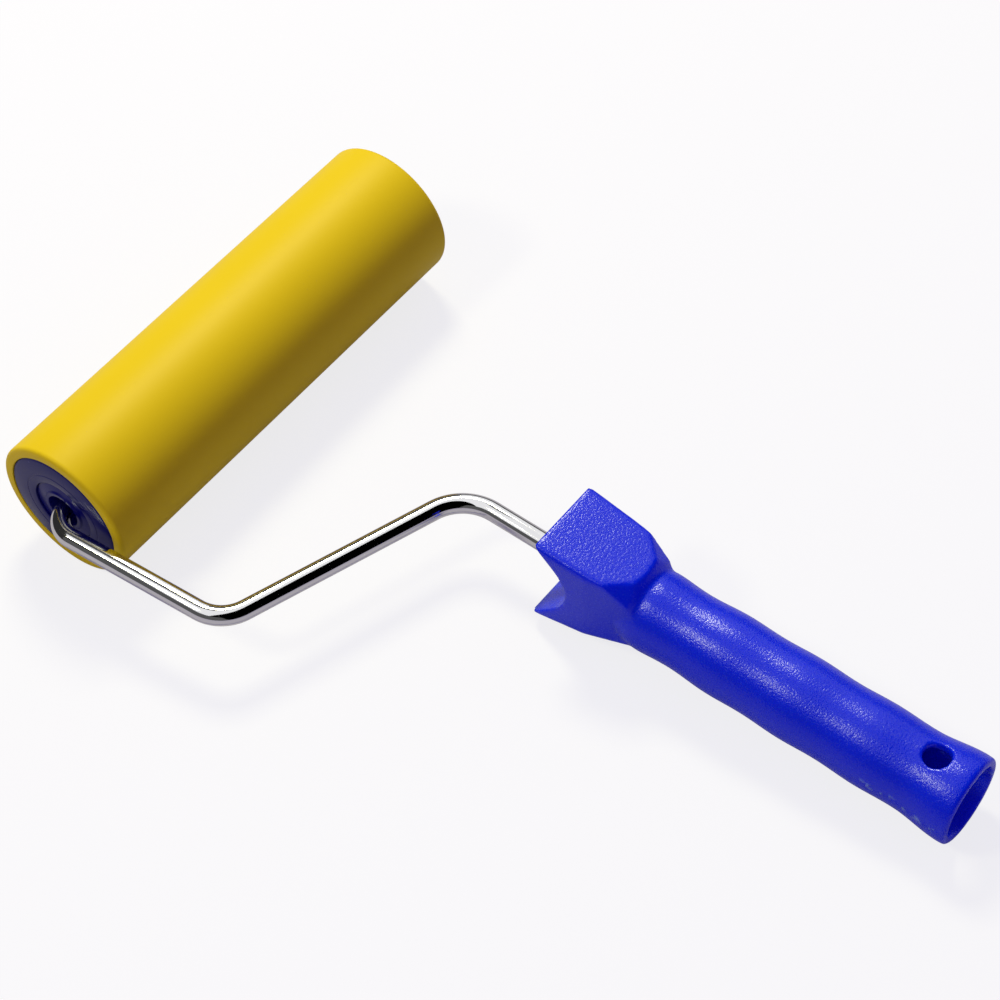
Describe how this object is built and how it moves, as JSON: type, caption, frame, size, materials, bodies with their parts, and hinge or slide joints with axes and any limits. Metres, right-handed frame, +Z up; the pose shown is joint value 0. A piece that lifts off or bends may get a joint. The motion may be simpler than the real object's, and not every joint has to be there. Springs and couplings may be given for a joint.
{
  "type": "rubber brayer",
  "caption": "Hand brayer: a rubber-covered roller that turns freely on a bent wire frame with a hollow moulded handle.",
  "frame": {"origin": "centre of the bounding box on the plane of the table that the brayer lies on, where the roller and the handle's rear rim both touch", "axes": "+X along the roller's axis, away from the side arm; +Y from the handle towards the roller; +Z up from the table"},
  "size_m": [0.159, 0.2828, 0.046],
  "materials": {
    "rubber_yellow": "satin",
    "tube_grey": "matte",
    "cap_navy": "satin",
    "bush_navy": "satin",
    "washer_steel": "zinc plated",
    "spring_steel": "bright",
    "wire_chrome": "polished",
    "handle_blue": "fine grain, satin"
  },
  "bodies": {
    "frame": {"frame_rod": "wire_chrome", "handle": "handle_blue", "near_thrust_washer": "washer_steel", "far_thrust_washer": "washer_steel", "push_nut": "spring_steel"},
    "roller": {"rubber_sleeve": "rubber_yellow", "core_tube": "tube_grey", "near_end_cap": "cap_navy", "far_end_cap": "cap_navy", "near_bearing_bush": "bush_navy", "far_bearing_bush": "bush_navy", "hub_plug": "cap_navy"}
  },
  "joints": [
    {"name": "roller_spin", "type": "hinge", "parent": "frame", "child": "roller", "pos_m": [0.0047, 0.11839, 0.023], "axis": [1, 0, 0], "continuous": true}
  ]
}
